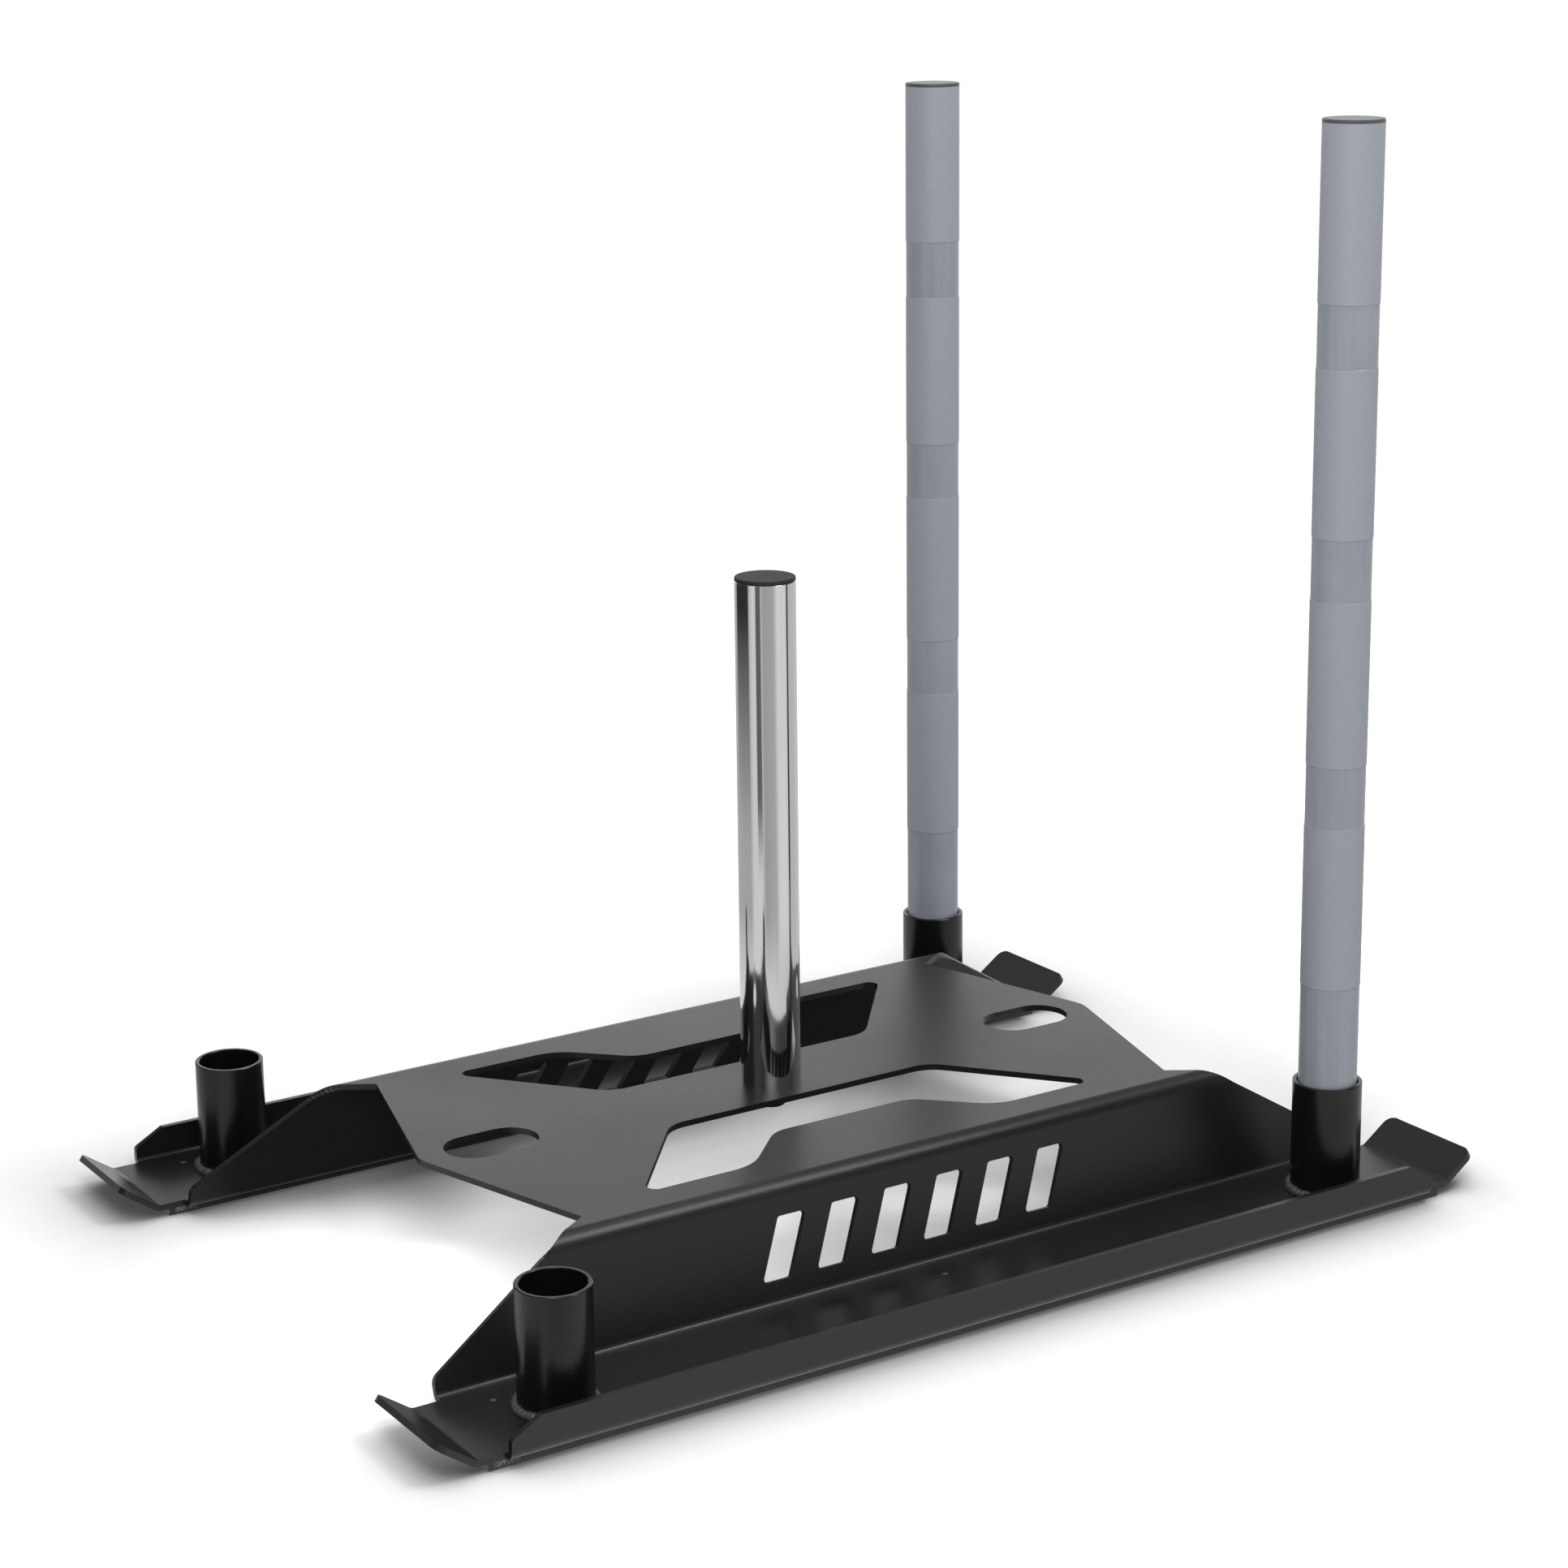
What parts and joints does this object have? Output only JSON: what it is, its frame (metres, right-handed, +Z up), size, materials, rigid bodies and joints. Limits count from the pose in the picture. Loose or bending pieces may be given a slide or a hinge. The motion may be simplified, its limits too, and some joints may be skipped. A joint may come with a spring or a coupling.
{
  "type": "drag sled",
  "caption": "Low bent-sheet drag sled on two runners, with a central weight post and two upright push poles that lift out of welded sockets.",
  "frame": {"origin": "on the ground, under the weight post and the middle of the sled", "axes": "+Z up along the weight post, +Y along the sled towards the push poles, +X across the sled"},
  "size_m": [0.676, 0.9748, 0.89],
  "materials": {
    "sheet": "satin black powder coat",
    "strip": "black wear plastic, lightly scuffed",
    "screw": "dark zinc",
    "socket": "satin black powder coat",
    "weld": "weld bead under satin black powder coat",
    "post": "polished chrome",
    "cap": "dark grey moulded plastic",
    "plug": "turned, zinc plated",
    "washer": "zinc plated",
    "bolt": "black oxide",
    "pole": "blue-grey coat over knurled bands"
  },
  "bodies": {
    "sled": {"sheet_deck": "sheet", "sheet_deck_front": "sheet", "sheet_deck_rear": "sheet", "sheet_wall_left": "sheet", "sheet_wall_right": "sheet", "sheet_floor_left": "sheet", "sheet_floor_right": "sheet", "sheet_lip_left": "sheet", "sheet_lip_right": "sheet", "strip_left": "strip", "strip_right": "strip", "strip_screws_left": "screw", "strip_screws_right": "screw", "socket_front_left": "socket", "socket_front_right": "socket", "socket_rear_left": "socket", "socket_rear_right": "socket", "weld_front_left": "weld", "weld_front_right": "weld", "weld_rear_left": "weld", "weld_rear_right": "weld", "post": "post", "post_cap": "cap", "post_plug": "plug", "post_washer": "washer", "post_bolt": "bolt"},
    "pole_left": {"pole_left": "pole", "pole_cap_left": "cap"},
    "pole_right": {"pole_right": "pole", "pole_cap_right": "cap"}
  },
  "joints": [
    {"name": "pole_left_lift", "type": "slide", "parent": "sled", "child": "pole_left", "axis": [0, 0, 1], "range_m": [0, 0.12]},
    {"name": "pole_right_lift", "type": "slide", "parent": "sled", "child": "pole_right", "axis": [0, 0, 1], "range_m": [0, 0.12]}
  ]
}
